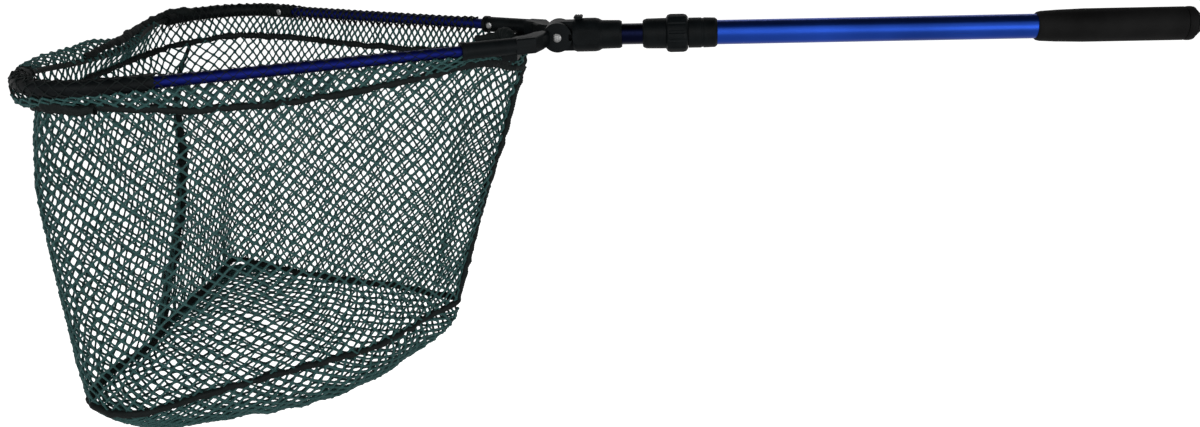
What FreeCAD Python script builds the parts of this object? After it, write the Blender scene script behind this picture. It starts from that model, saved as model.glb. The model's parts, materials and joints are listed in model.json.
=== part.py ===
import FreeCAD, Part
import math
import os
import re
import Sketcher

# A folding landing net: a triangular hoop with a netting bag, hinged to a two-part telescopic handle.
# The hinge pin's centre is x = 0 while the pieces are drawn. Every piece's Placement then moves it by
# hinge_to_origin, so that the finished part has its origin at the middle of the grip. The hoop points
# to -X, the grip to +X and +Z is up. Lengths are millimetres, angles degrees.
SIZES = {
    "hinge_to_origin": 502,
    # handle tubes
    "outer_tube_radius": 11,
    "inner_tube_radius": 9.5,
    "tube_wall": 1,
    "outer_tube_start": 124,
    "outer_tube_end": 554,
    "inner_tube_start": 34,
    "inner_tube_end": 418,
    # grip and its cap
    "grip_start": 430,
    "grip_full_start": 472,
    "grip_end": 561,
    "grip_radius": 14.9,
    "cap_end": 575,
    # twist lock
    "collet_start": 84,
    "collet_slot_end": 106,
    "collet_radius": 11.8,
    "collet_slot_width": 1.6,
    "lock_start": 77,
    "lock_ring_start": 98,
    "lock_ring_end": 118,
    "lock_body_radius": 13.8,
    "lock_ring_radius": 17.2,
    "lock_flutes": 14,
    "lock_rear_end": 144.4,
    # handle socket and its tongue
    "tongue_radius": 13.3,
    "tongue_half_width": 6.2,
    "socket_start": 14,
    "socket_front_end": 38,
    "socket_end": 58,
    "socket_radius": 15.25,
    "socket_half_width": 13.8,
    "collar_radius": 12.7,
    "pin_radius": 3,
    # thumb latch
    "latch_travel": 3,
    "latch_bar_start": 14.4,
    "latch_bar_end": 22,
    "latch_bar_half_width": 12.8,
    "latch_bar_half_height": 2.4,
    "latch_gap": 0.4,
    "latch_pocket_end": 31,
    "latch_stem_start": 16.6,
    "latch_stem_end": 20.6,
    "latch_stem_half_width": 4,
    "latch_tab_bottom": 15.7,
    "latch_tab_top": 17.8,
    # yoke
    "cheek_inner": 6.6,
    "cheek_outer": 14.2,
    "yoke_half_height": 7,
    "web_start": -32,
    "web_end": -46,
    "web_top": -6,
    "web_bottom": -13,
    "mouth_reach": 77.6,
    "mouth_offset": 70.05,
    "yoke_socket_radius": 7.3,
    "yoke_socket_length": 64,
    # hoop arms and corner pieces
    "arm_angle": 24.9,
    "arm_radius": 4.9,
    "arm_wall": 1,
    "arm_in_yoke": 30,
    "arm_length": 243.7,
    "arm_in_corner": 24,
    "corner_radius": 6.5,
    "corner_run": 32,
    "corner_bend": 67,
    "corner_turn": 105,
    "rivet_radius": 1.6,
    "rivet_in_yoke": 9,
    "rivet_in_corner": 16,
    # cords
    "front_cord_radius": 2.5,
    "hem_radius": 2.2,
    "binding_radius": 2.2,
    "yoke_seam_radius": 3,
    "front_seam_radius": 2.4,
    # netting
    "net_thickness": 2,
    "sleeve_depth": 24.5,
    "hem_level": -28.8,
    "wall_top": -32,
    "wall_bottom": -262,
    "binding_level": -266.6,
    "bag_floor_top": -271,
    "bag_floor": -342,
}

FAR = 1
NEAR = -1
ALIAS = re.compile(r"[a-z_]{4,}")

doc = FreeCAD.newDocument("landing_net")
sheet = doc.addObject("Spreadsheet::Sheet", "Sizes")
for row, (alias, size) in enumerate(SIZES.items(), start=1):
    sheet.set(f"A{row}", alias)
    sheet.set(f"B{row}", str(size))
    sheet.setAlias(f"B{row}", alias)
doc.recompute()

parts = []


def bound(text):
    """The expression, with each size's name pointing at its cell."""
    return ALIAS.sub(lambda m: "Sizes." + m.group(0) if m.group(0) in SIZES else m.group(0), str(text))


def number(text):
    return float(sheet.evalExpression(bound(text)))


def vector(x, y, z=0):
    return FreeCAD.Vector(number(x), number(y), number(z))


# ---------------------------------------------------------------- bodies, sketches and features


def new_body(name):
    """A body drawn about the hinge pin."""
    body = doc.addObject("PartDesign::Body", name)
    body.Label = name
    body.setExpression("Placement.Base.x", bound("-hinge_to_origin"))
    parts.append(body)
    return body


def new_arm_body(name, side):
    """A body drawn from a yoke socket's mouth, with its own +X out along that side's arm."""
    body = doc.addObject("PartDesign::Body", name)
    body.Label = name
    body.setExpression("Placement.Base.x", bound("-hinge_to_origin - mouth_reach"))
    body.setExpression("Placement.Base.y", bound(f"{side} * mouth_offset"))
    body.setExpression("Placement.Rotation.Angle", bound(f"180 - {side} * arm_angle"))
    parts.append(body)
    return body


def new_sketch(body, plane, level="0"):
    """A sketch on one of the body's origin planes, lifted along the plane's normal to level."""
    sketch = body.newObject("Sketcher::SketchObject", body.Label + "_sketch")
    feature = next(f for f in body.Origin.OriginFeatures if f.Role == plane + "_Plane")
    sketch.AttachmentSupport = [(feature, "")]
    sketch.MapMode = "FlatFace"
    sketch.setExpression("AttachmentOffset.Base.z", bound(level))
    return sketch


def bind(sketch, kind, where, text):
    index = sketch.addConstraint(Sketcher.Constraint(kind, *where, number(text)))
    name = f"{kind.lower()}_{index}"
    sketch.renameConstraint(index, name)
    sketch.setExpression("Constraints." + name, bound(text))


def place_point(sketch, geometry, end, x, y):
    for kind, axis, text in (("DistanceX", -2, x), ("DistanceY", -1, y)):
        if number(text) == 0:
            sketch.addConstraint(Sketcher.Constraint("PointOnObject", geometry, end, axis))
        else:
            bind(sketch, kind, (-1, 1, geometry, end), text)


def add_outline(sketch, points):
    """A closed outline of straight lines, every corner bound to its two expressions."""
    first = sketch.GeometryCount
    count = len(points)
    corners = [vector(x, y) for x, y in points]
    for i in range(count):
        sketch.addGeometry(Part.LineSegment(corners[i], corners[(i + 1) % count]))
    for i in range(count):
        sketch.addConstraint(Sketcher.Constraint("Coincident", first + i, 2, first + (i + 1) % count, 1))
    for i, (x, y) in enumerate(points):
        place_point(sketch, first + i, 1, x, y)


def add_circle(sketch, x, y, radius):
    circle = Part.Circle(vector(x, y), FreeCAD.Vector(0, 0, 1), number(radius))
    index = sketch.addGeometry(circle)
    place_point(sketch, index, 3, x, y)
    bind(sketch, "Radius", (index,), radius)


def box_outline(x_low, x_high, y_low, y_high):
    return [(x_low, y_low), (x_high, y_low), (x_high, y_high), (x_low, y_high)]


def add_feature(body, kind, sketch):
    feature = body.newObject("PartDesign::" + kind, f"{body.Label}_{kind}")
    feature.Profile = sketch
    return feature


def revolve(body, points, plane="XZ", axis="H_Axis"):
    sketch = new_sketch(body, plane)
    add_outline(sketch, points)
    feature = add_feature(body, "Revolution", sketch)
    feature.ReferenceAxis = (sketch, [axis])
    feature.Angle = 360


def thicken(body, kind, sketch, width):
    """A Pad or a Pocket that reaches half of width to each side of its sketch."""
    feature = add_feature(body, kind, sketch)
    feature.SideType = "Symmetric"
    feature.setExpression("Length", bound(width))
    return feature


def pad_outline(body, plane, level, points, width):
    sketch = new_sketch(body, plane, level)
    add_outline(sketch, points)
    return thicken(body, "Pad", sketch, width)


def cut_outline(body, plane, level, points, width):
    sketch = new_sketch(body, plane, level)
    add_outline(sketch, points)
    return thicken(body, "Pocket", sketch, width)


def cut_circle(body, plane, level, x, y, radius, width):
    sketch = new_sketch(body, plane, level)
    add_circle(sketch, x, y, radius)
    return thicken(body, "Pocket", sketch, width)


def repeat_round(body, feature, axis, angle, count):
    pattern = body.newObject("PartDesign::PolarPattern", body.Label + "_pattern")
    pattern.Originals = [feature]
    pattern.Axis = axis
    pattern.Angle = angle
    pattern.Occurrences = count
    body.Tip = pattern


# ---------------------------------------------------------------- shapes made with Part's functions


def new_shape(name, shape):
    """A piece whose shape is made by Part's functions, drawn about the hinge pin."""
    feature = doc.addObject("Part::Feature", name)
    feature.Label = name
    feature.Shape = shape
    move = FreeCAD.Placement(vector("-hinge_to_origin", 0), FreeCAD.Rotation())
    feature.Placement = move * shape.Placement
    parts.append(feature)


def route_wire(name, points, closed, radius=None):
    """Straight runs joined by tangent arcs. An arc takes the radius, or 0.45 of its shorter run."""
    corners = [FreeCAD.Vector(*point) for point in points]
    count = len(corners)
    ends = []
    arcs = {}
    radii = []
    for i in range(count):
        if not closed and i in (0, count - 1):
            ends.append((corners[i], corners[i]))
            continue
        back = corners[i - 1] - corners[i]
        ahead = corners[(i + 1) % count] - corners[i]
        half_turn = (math.pi - back.getAngle(ahead)) / 2
        reach = 0.45 * min(back.Length, ahead.Length)
        if radius:
            reach = min(reach, radius * math.tan(half_turn))
        into = corners[i] + back.normalize() * reach
        out = corners[i] + ahead.normalize() * reach
        middle_way = (back + ahead).normalize()
        bend = reach / math.tan(half_turn)
        middle = corners[i] + middle_way * (bend / math.cos(half_turn) - bend)
        arcs[i] = Part.Arc(into, middle, out).toShape()
        ends.append((into, out))
        radii.append(round(bend))
    edges = []
    for i in range(count if closed else count - 1):
        if i in arcs:
            edges.append(arcs[i])
        edges.append(Part.LineSegment(ends[i][1], ends[(i + 1) % count][0]).toShape())
    wire = Part.Wire(edges)
    print(f"{name}: length {wire.Length:.0f} mm, arc radii {radii}")
    return wire


def tube_along(wire, radius):
    """A round solid along a wire, which starts with a straight edge unless the wire is closed."""
    start = wire.Edges[0]
    at = start.valueAt(start.FirstParameter)
    along = start.tangentAt(start.FirstParameter)
    ring = Part.Wire(Part.makeCircle(radius, at, along))
    tube = wire.makePipeShell([ring], True, False)
    wanted = math.pi * radius**2 * wire.Length
    if abs(tube.Volume - wanted) > 0.01 * wanted:
        raise RuntimeError(f"a tube holds {tube.Volume:.0f} mm3, not {wanted:.0f}")
    return tube


# ---------------------------------------------------------------- handle


def make_outer_tube():
    body = new_body("outer_tube")
    bore = "outer_tube_radius - tube_wall"
    revolve(body, box_outline("outer_tube_start", "outer_tube_end", bore, "outer_tube_radius"))


def make_grip():
    body = new_body("grip")
    outline = [
        ("grip_start", "outer_tube_radius"),
        ("grip_end", "outer_tube_radius"),
        ("grip_end", "grip_radius - 1.1"),
        ("grip_end - 1", "grip_radius"),
        ("grip_full_start", "grip_radius"),
        ("grip_start + 18", "grip_radius - 0.7"),
        ("grip_start + 4", "grip_radius - 1.5"),
        ("grip_start + 1", "grip_radius - 2.2"),
        ("grip_start", "grip_radius - 3"),
    ]
    revolve(body, outline)


def make_butt_cap():
    """A low collar and a ribbed cone that close the grip, on a spigot inside the tube."""
    body = new_body("butt_cap")
    bore = "outer_tube_radius - tube_wall"
    outline = [
        ("outer_tube_end - 18", "0"),
        ("cap_end", "0"),
        ("cap_end", "grip_radius - 7.5"),
        ("cap_end - 1", "grip_radius - 6"),
        ("cap_end - 3", "grip_radius - 4.2"),
        ("cap_end - 3", "grip_radius - 4.9"),
        ("cap_end - 4", "grip_radius - 4"),
        ("cap_end - 4", "grip_radius - 3.2"),
        ("cap_end - 6", "grip_radius - 1.4"),
        ("cap_end - 6", "grip_radius - 2.1"),
        ("cap_end - 7", "grip_radius - 1.2"),
        ("cap_end - 7", "grip_radius - 0.2"),
        ("cap_end - 9", "grip_radius + 0.2"),
        ("cap_end - 12", "grip_radius + 0.2"),
        ("grip_end", "grip_radius - 0.4"),
        ("grip_end", "outer_tube_radius - 0.6"),
        ("outer_tube_end", "outer_tube_radius - 0.6"),
        ("outer_tube_end", bore),
        ("outer_tube_end - 16", bore),
    ]
    revolve(body, outline)


def make_lock_collet():
    """The split sleeve that the lock ring squeezes on to the inner tube."""
    body = new_body("lock_collet")
    bore = "inner_tube_radius + 0.08"
    outline = [
        ("collet_start", bore),
        ("outer_tube_start", bore),
        ("outer_tube_start", "collet_radius"),
        ("collet_start + 5", "collet_radius"),
        ("collet_start", "collet_radius - 1.2"),
    ]
    revolve(body, outline)
    half = "collet_slot_width / 2"
    slot = box_outline("collet_start - 1", "collet_slot_end", f"-{half}", half)
    feature = cut_outline(body, "XY", "0", slot, "3 * collet_radius")
    repeat_round(body, feature, (feature.Profile[0], ["H_Axis"]), 90, 2)


def make_lock_ring():
    """The ring that is turned by hand, with finger flutes round its wide end."""
    body = new_body("lock_ring")
    mouth = "inner_tube_radius + 0.5"
    bore = "collet_radius + 0.4"
    outline = [
        ("lock_start", mouth),
        ("collet_start - 1.5", mouth),
        ("collet_start - 1.5", bore),
        ("lock_ring_end", bore),
        ("lock_ring_end", "lock_body_radius + 0.6"),
        ("lock_ring_end - 1.5", "lock_ring_radius - 0.8"),
        ("lock_ring_end - 4", "lock_ring_radius"),
        ("lock_ring_start + 4", "lock_ring_radius"),
        ("lock_ring_start + 1.5", "lock_ring_radius - 0.8"),
        ("lock_ring_start", "lock_body_radius"),
        ("lock_start + 3.5", "lock_body_radius - 0.3"),
        ("lock_start + 1", "lock_body_radius - 1.2"),
        ("lock_start", "lock_body_radius - 2.2"),
    ]
    revolve(body, outline)
    doc.recompute()
    middle = "(lock_ring_start + lock_ring_end) / 2"
    flute = cut_circle(body, "YZ", middle, "0", "lock_ring_radius + 1.3", "2.2", "26")
    repeat_round(body, flute, (flute.Profile[0], ["N_Axis"]), 360, SIZES["lock_flutes"])


def make_lock_sleeve():
    """The fixed rear half of the lock, glued over the outer tube and the collet."""
    body = new_body("lock_sleeve")
    front = "lock_ring_end + 0.5"
    outline = [
        (front, "collet_radius"),
        ("outer_tube_start", "collet_radius"),
        ("outer_tube_start", "outer_tube_radius"),
        ("lock_rear_end", "outer_tube_radius"),
        ("lock_rear_end", "lock_body_radius - 2"),
        ("lock_rear_end - 2", "lock_body_radius - 0.5"),
        ("lock_rear_end - 12", "lock_body_radius - 0.2"),
        ("lock_rear_end - 12.5", "lock_body_radius - 0.7"),
        ("lock_rear_end - 14", "lock_body_radius - 0.7"),
        ("lock_rear_end - 14.5", "lock_body_radius - 0.2"),
        (front, "lock_body_radius - 0.2"),
    ]
    revolve(body, outline)


def make_inner_tube():
    body = new_body("inner_tube")
    bore = "inner_tube_radius - tube_wall"
    revolve(body, box_outline("inner_tube_start", "inner_tube_end", bore, "inner_tube_radius"))


def make_guide_bush():
    """The plug on the inner tube's hidden end, which slides in the outer tube."""
    body = new_body("guide_bush")
    outline = [
        ("inner_tube_end - 14", "0"),
        ("inner_tube_end + 6", "0"),
        ("inner_tube_end + 6", "outer_tube_radius - tube_wall - 0.6"),
        ("inner_tube_end + 5", "outer_tube_radius - tube_wall - 0.07"),
        ("inner_tube_end", "outer_tube_radius - tube_wall - 0.07"),
        ("inner_tube_end", "inner_tube_radius - tube_wall"),
        ("inner_tube_end - 14", "inner_tube_radius - tube_wall"),
    ]
    revolve(body, outline)


# ---------------------------------------------------------------- handle socket, latch and hinge


def make_handle_socket():
    body = new_body("handle_socket")
    outline = [
        ("socket_start", "0"),
        ("inner_tube_start", "0"),
        ("inner_tube_start", "inner_tube_radius"),
        ("socket_end", "inner_tube_radius"),
        ("socket_end", "collar_radius - 1"),
        ("socket_end - 2", "collar_radius"),
        ("socket_front_end + 2", "collar_radius + 0.3"),
        ("socket_front_end - 1", "socket_radius - 0.6"),
        ("socket_front_end - 4", "socket_radius"),
        ("socket_start + 3", "socket_radius"),
        ("socket_start", "socket_radius - 1.2"),
    ]
    revolve(body, outline)
    for side in (FAR, NEAR):
        flat = box_outline(f"{side} * socket_half_width", f"{side} * (socket_radius + 2)", "-20", "20")
        middle = "(socket_start + socket_front_end) / 2"
        cut_outline(body, "YZ", middle, flat, "socket_front_end - socket_start + 2")
    root = box_outline("0", "socket_start + 2", "-tongue_radius", "tongue_radius")
    pad_outline(body, "XZ", "0", root, "2 * tongue_half_width")
    nose = new_sketch(body, "XZ")
    add_circle(nose, "0", "0", "tongue_radius")
    thicken(body, "Pad", nose, "2 * tongue_half_width")
    cut_circle(body, "XZ", "0", "0", "0", "pin_radius + 0.05", "40")
    reach = "latch_bar_half_width + latch_gap"
    pocket = box_outline("socket_start", "latch_pocket_end", f"-({reach})", reach)
    cut_outline(body, "XY", "0", pocket, "2 * (latch_bar_half_height + latch_gap)")
    half = "latch_stem_half_width + latch_gap"
    rear = "latch_stem_end + latch_travel + latch_gap"
    slot = box_outline("latch_stem_start - latch_gap", rear, f"-({half})", half)
    cut_outline(body, "XY", "10", slot, "20")


def make_latch_slider():
    """A bar with two lugs that face the yoke's cheeks, a stem up through the socket and a thumb tab."""
    body = new_body("latch_slider")
    lug = "latch_bar_start - 0.6"
    root = "tongue_half_width + 0.7"
    width = "latch_bar_half_width"
    bar = [
        ("latch_bar_start", f"-({root})"),
        (lug, f"-({root})"),
        (lug, f"-{width}"),
        ("latch_bar_end", f"-{width}"),
        ("latch_bar_end", width),
        (lug, width),
        (lug, root),
        ("latch_bar_start", root),
    ]
    pad_outline(body, "XY", "0", bar, "2 * latch_bar_half_height")
    half = "latch_stem_half_width"
    stem = box_outline("latch_stem_start", "latch_stem_end", f"-{half}", half)
    pad_outline(body, "XY", "latch_tab_bottom / 2", stem, "latch_tab_bottom + 1")
    tab = [
        ("latch_stem_start - 1.8", "latch_tab_bottom"),
        ("latch_stem_end + 2", "latch_tab_bottom"),
        ("latch_stem_end + 2", "latch_tab_top - 0.8"),
        ("latch_stem_end + 1", "latch_tab_top"),
        ("latch_stem_end - 0.4", "latch_tab_top"),
        ("latch_stem_end - 0.9", "latch_tab_top - 0.7"),
        ("latch_stem_end - 1.4", "latch_tab_top"),
        ("latch_stem_end - 2.4", "latch_tab_top"),
        ("latch_stem_end - 2.9", "latch_tab_top - 0.7"),
        ("latch_stem_end - 3.4", "latch_tab_top"),
        ("latch_stem_start - 0.6", "latch_tab_top"),
        ("latch_stem_start - 1.8", "latch_tab_top - 0.9"),
    ]
    pad_outline(body, "XZ", "0", tab, "12")


def make_latch_spring():
    """The coil spring behind the latch bar, along X."""
    start = number("latch_bar_end + 0.3")
    length = number("latch_pocket_end - latch_bar_end - 0.9")
    radius = 1.9
    wire_radius = 0.25
    helix = Part.makeHelix(1.4, length, radius)
    ring = Part.Wire(Part.makeCircle(wire_radius, FreeCAD.Vector(radius, 0, 0), FreeCAD.Vector(0, 1, 0)))
    spring = Part.Wire(helix).makePipeShell([ring], True, True)
    spring.rotate(FreeCAD.Vector(0, 0, 0), FreeCAD.Vector(0, 1, 0), 90)
    spring.translate(FreeCAD.Vector(start + wire_radius, 0, 0))
    new_shape("latch_spring", spring)


def make_hinge_pin():
    body = new_body("hinge_pin")
    outline = [
        ("0", "-cheek_outer - 1.9"),
        ("2.4", "-cheek_outer - 1.7"),
        ("3.8", "-cheek_outer - 0.9"),
        ("3.8", "-cheek_outer - 0.1"),
        ("pin_radius", "-cheek_outer - 0.1"),
        ("pin_radius", "cheek_outer + 1.6"),
        ("pin_radius - 0.5", "cheek_outer + 2.1"),
        ("0", "cheek_outer + 2.1"),
    ]
    revolve(body, outline, "XY", "V_Axis")


def make_pin_clip():
    """The push-on washer that keeps the hinge pin in."""
    body = new_body("pin_clip")
    outline = [
        ("pin_radius", "cheek_outer + 0.1"),
        ("6", "cheek_outer + 0.1"),
        ("6", "cheek_outer + 0.7"),
        ("4.2", "cheek_outer + 0.9"),
        ("pin_radius", "cheek_outer + 1.4"),
    ]
    revolve(body, outline, "XY", "V_Axis")


# ---------------------------------------------------------------- yoke


def add_arm_sketch(body, side, along):
    """A sketch square to an arm's axis, at a distance along it from the socket's mouth."""
    sketch = new_sketch(body, "YZ", f"-mouth_reach - ({along}) * cos(arm_angle)")
    across = f"{side} * (mouth_offset + ({along}) * sin(arm_angle))"
    sketch.setExpression("AttachmentOffset.Base.x", bound(across))
    turn = FreeCAD.Rotation(FreeCAD.Vector(0, 1, 0), number(f"180 - {side} * arm_angle"))
    sketch.AttachmentOffset = FreeCAD.Placement(sketch.AttachmentOffset.Base, turn)
    return sketch


# One leg's plan: from the cheek, clear of the pin's washer, out to the arm socket and back.
YOKE_LEG = [
    ("-1", "cheek_outer - 4"),
    ("-1", "cheek_outer"),
    ("-6.8", "cheek_outer"),
    ("-7.6", "cheek_outer + 5"),
    ("-10.4", "34"),
    ("-15", "49"),
    ("-31", "56.4"),
    ("-37", "43.2"),
    ("-27", "33"),
    ("-22", "23"),
    ("-13.4", "cheek_outer + 0.8"),
    ("-10.4", "cheek_outer + 0.2"),
    ("-10.4", "cheek_outer - 4"),
]


def make_yoke():
    """Two cheeks round the tongue, a leg from each to its arm socket, and a web below that joins them."""
    body = new_body("yoke")
    cheeks = new_sketch(body, "XZ")
    add_circle(cheeks, "0", "0", "tongue_radius")
    thicken(body, "Pad", cheeks, "2 * cheek_outer")
    for side in (FAR, NEAR):
        leg = [(x, f"{side} * ({y})") for x, y in YOKE_LEG]
        feature = pad_outline(body, "XY", "0", leg, "2 * yoke_half_height")
        doc.recompute()
        round_leg(body, feature)
    web = box_outline("web_end", "web_start", "-50", "50")
    pad_outline(body, "XY", "(web_top + web_bottom) / 2", web, "web_top - web_bottom")
    for side in (FAR, NEAR):
        sketch = add_arm_sketch(body, side, "-yoke_socket_length / 2")
        add_circle(sketch, "0", "0", "yoke_socket_radius")
        thicken(body, "Pad", sketch, "yoke_socket_length")
        sketch = add_arm_sketch(body, side, "-2")
        add_circle(sketch, "0", "0", "yoke_socket_radius + 0.7")
        thicken(body, "Pad", sketch, "4")
        sketch = add_arm_sketch(body, side, "-arm_in_yoke / 2")
        add_circle(sketch, "0", "0", "arm_radius")
        thicken(body, "Pocket", sketch, "arm_in_yoke + 0.4")
    slot = box_outline("-tongue_radius - 1.2", "tongue_radius + 2", "-cheek_inner", "cheek_inner")
    cut_outline(body, "XY", "0", slot, "40")
    cut_circle(body, "XZ", "0", "0", "0", "pin_radius", "40")
    notch = "latch_bar_half_height + 0.5"
    catch = box_outline("tongue_radius - 3", "tongue_radius + 2", f"-({notch})", notch)
    cut_outline(body, "XZ", "0", catch, "40")
    for side in (FAR, NEAR):
        cut_rivet_hole(body, side)


def round_leg(body, feature):
    """Rounds the leg's long edges, above and below."""
    names = []
    for i, edge in enumerate(feature.Shape.Edges, start=1):
        low = edge.BoundBox
        flat = low.ZLength < 0.01 and abs(abs(low.ZMax) - SIZES["yoke_half_height"]) < 0.01
        if flat and min(abs(low.YMin), abs(low.YMax)) > SIZES["cheek_outer"] + 4:
            names.append(f"Edge{i}")
    rounding = body.newObject("PartDesign::Fillet", body.Label + "_rounding")
    rounding.Base = (feature, names)
    rounding.Radius = 2


def cut_rivet_hole(body, side):
    """A hole through the socket's inner wall only."""
    x = "-mouth_reach + rivet_in_yoke * cos(arm_angle) - yoke_socket_radius * sin(arm_angle)"
    y = "mouth_offset - rivet_in_yoke * sin(arm_angle) - yoke_socket_radius * cos(arm_angle)"
    sketch = new_sketch(body, "XZ", f"-{side} * ({y})")
    sketch.setExpression("AttachmentOffset.Base.x", bound(x))
    turn = FreeCAD.Rotation(FreeCAD.Vector(0, 1, 0), number(f"-{side} * arm_angle"))
    sketch.AttachmentOffset = FreeCAD.Placement(sketch.AttachmentOffset.Base, turn)
    add_circle(sketch, "0", "0", "rivet_radius")
    thicken(body, "Pocket", sketch, "2 * yoke_socket_radius - 4")


# ---------------------------------------------------------------- hoop


def make_arm(name, side):
    body = new_arm_body(name, side)
    sketch = new_sketch(body, "YZ", "(arm_length + arm_in_corner - arm_in_yoke) / 2")
    add_circle(sketch, "0", "0", "arm_radius")
    add_circle(sketch, "0", "0", "arm_radius - arm_wall")
    thicken(body, "Pad", sketch, "arm_length + arm_in_corner + arm_in_yoke")
    for along in ("-rivet_in_yoke", "arm_length + rivet_in_corner"):
        level = f"-{side} * arm_radius"
        cut_circle(body, "XZ", level, along, "0", "rivet_radius", "3.2")


def make_corner(name, side):
    """A hollow end piece: a straight socket for the arm, then a bend in towards the other arm."""
    body = new_arm_body(name, side)
    ring = new_sketch(body, "YZ", "arm_length")
    add_circle(ring, "0", "0", "corner_radius")
    add_circle(ring, "0", "0", "arm_radius")
    path = new_sketch(body, "XY")
    start = vector("arm_length", 0)
    run_end = vector("arm_length + corner_run", 0)
    centre = vector("arm_length + corner_run", f"{side} * corner_bend")
    circle = Part.Circle(centre, FreeCAD.Vector(0, 0, 1), number("corner_bend"))
    turn = math.radians(number("corner_turn"))
    first = -math.pi / 2 if side == FAR else math.pi / 2 - turn
    path.addGeometry(Part.LineSegment(start, run_end))
    path.addGeometry(Part.ArcOfCircle(circle, first, first + turn))
    joint_end = 1 if side == FAR else 2
    path.addConstraint(Sketcher.Constraint("Tangent", 0, 2, 1, joint_end))
    path.addConstraint(Sketcher.Constraint("Horizontal", 0))
    place_point(path, 0, 1, "arm_length", "0")
    bind(path, "DistanceX", (0, 1, 0, 2), "corner_run")
    bind(path, "Radius", (1,), "corner_bend")
    bind(path, "Angle", (1,), "corner_turn * pi / 180 * 1 rad")
    pipe = add_feature(body, "AdditivePipe", ring)
    pipe.Spine = (path, [""])
    doc.recompute()
    level = f"-{side} * corner_radius"
    cut_circle(body, "XZ", level, "arm_length + rivet_in_corner", "0", "rivet_radius", "6")


def arm_point(side, along, inward=0.0):
    """A point beside an arm's axis: along it from the socket's mouth, and inward from it."""
    angle = math.radians(number("arm_angle"))
    x = -number("mouth_reach") - along * math.cos(angle) - inward * math.sin(angle)
    y = number("mouth_offset") + along * math.sin(angle) - inward * math.cos(angle)
    return FreeCAD.Vector(x, side * y, 0)


def corner_tip(side):
    """The corner piece's open end, and the way it points."""
    angle = math.radians(number("arm_angle"))
    turn = math.radians(number("corner_turn"))
    bend = number("corner_bend")
    along = number("arm_length + corner_run") + bend * math.sin(turn)
    inward = bend * (1 - math.cos(turn))
    heading = angle - turn
    return arm_point(side, along, inward), FreeCAD.Vector(-math.cos(heading), side * math.sin(heading), 0)


def make_rivets(name, along, surface):
    """One blind rivet in each arm, its head on the side that faces the other arm."""
    rivets = []
    for side in (FAR, NEAR):
        axis = arm_point(side, 0, 1) - arm_point(side, 0, 0)
        shank_start = arm_point(side, along, number("arm_radius - arm_wall - 0.8"))
        head_start = arm_point(side, along, surface)
        shank_length = (head_start - shank_start).Length
        shank = Part.makeCylinder(number("rivet_radius"), shank_length + 0.3, shank_start, axis)
        head = Part.makeCylinder(3, 0.8, head_start, axis)
        dome = Part.makeCone(3, 1.9, 0.5, head_start + axis * 0.8, axis)
        rivets.append(shank.fuse([head, dome]).removeSplitter())
    new_shape(name, Part.makeCompound(rivets))


def make_cord_plugs():
    """A plug in each corner piece's end, with a hole that holds the front cord."""
    plugs = []
    for side in (FAR, NEAR):
        tip, heading = corner_tip(side)
        inside = number("arm_radius") - 0.35
        plug = Part.makeCylinder(inside, 8, tip - heading * 7, heading)
        lip = Part.makeCylinder(number("corner_radius") - 0.3, 1.5, tip + heading * 0.2, heading)
        hole = Part.makeCylinder(number("front_cord_radius"), 20, tip - heading * 10, heading)
        plugs.append(plug.fuse(lip).cut(hole).removeSplitter())
    new_shape("cord_plugs", Part.makeCompound(plugs))


# The front cord's route between the corner pieces: it sags and is drawn in towards the yoke.
CORD_ROUTE = [
    (-428.5, -104, -2.5),
    (-418, -58, -6),
    (-413, -4, -8),
    (-417, 52, -7),
    (-427.5, 102, -3),
]


def make_front_cord():
    near_tip, near_way = corner_tip(NEAR)
    far_tip, far_way = corner_tip(FAR)
    start = near_tip - near_way * 6
    end = far_tip - far_way * 6
    leaving = [tuple(start), tuple(near_tip + near_way * 9)]
    arriving = [tuple(far_tip + far_way * 9), tuple(end)]
    route = leaving + CORD_ROUTE + arriving
    wire = route_wire("front_cord", route, closed=False)
    new_shape("front_cord", tube_along(wire, number("front_cord_radius")))


# ---------------------------------------------------------------- netting, as plain soft solids

# Half of the hem's plan, from the yoke round to the front; the other half mirrors it.
HEM_HALF = [(-38, 20), (-74, 68), (-352, 197), (-441, 150)]
# The bottom binding's plan: rear corner, near front corner and far front corner.
BOTTOM_PLAN = [(-110, 0), (-412, -184), (-402, 152)]
# One net wall each: its line in plan at the top and at the bottom, as (x, y) points.
WALLS = {
    "near_side_net": (
        [(-47, -12), (-78, -66), (-350, -192), (-398, -187)],
        [(-120, -8), (-160, -36), (-375, -166), (-397, -170)],
    ),
    "far_side_net": (
        [(-47, 12), (-78, 66), (-350, 192), (-398, 187)],
        [(-120, 8), (-160, 30), (-371, 136), (-394, 143)],
    ),
    "front_net": (
        [(-406, -179), (-437, -70), (-437, 70), (-406, 179)],
        [(-403, -164), (-407, -60), (-406, 60), (-400, 138)],
    ),
}
FRONT_SEAM = [
    (-415.5, 126, -37),
    (-415.5, 102, -90),
    (-414.5, 76, -140),
    (-410, 50, -190),
    (-405.5, 10, -228),
    (-401.5, -32, -258),
]
YOKE_SEAM = [(-41, 0, -35), (-56, 0, -92), (-78, 0, -150), (-95, 0, -200), (-111, 0, -261)]


def make_sleeve(name, side):
    """A netting sleeve round one arm, closed to a narrow edge along its bottom."""
    body = new_arm_body(name, side)
    sketch = new_sketch(body, "YZ", "arm_length / 2")
    outer = [("-8.4", "0"), ("-6", "6"), ("0", "8.6"), ("6", "6"), ("8.4", "0")]
    inner = [("-7", "0"), ("-5", "5"), ("0", "7.2"), ("5", "5"), ("7", "0")]
    add_outline(sketch, outer + [("1.6", "-sleeve_depth"), ("-1.6", "-sleeve_depth")])
    add_outline(sketch, inner + [("0.7", "4 - sleeve_depth"), ("-0.7", "4 - sleeve_depth")])
    thicken(body, "Pad", sketch, "arm_length - 9")


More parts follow.
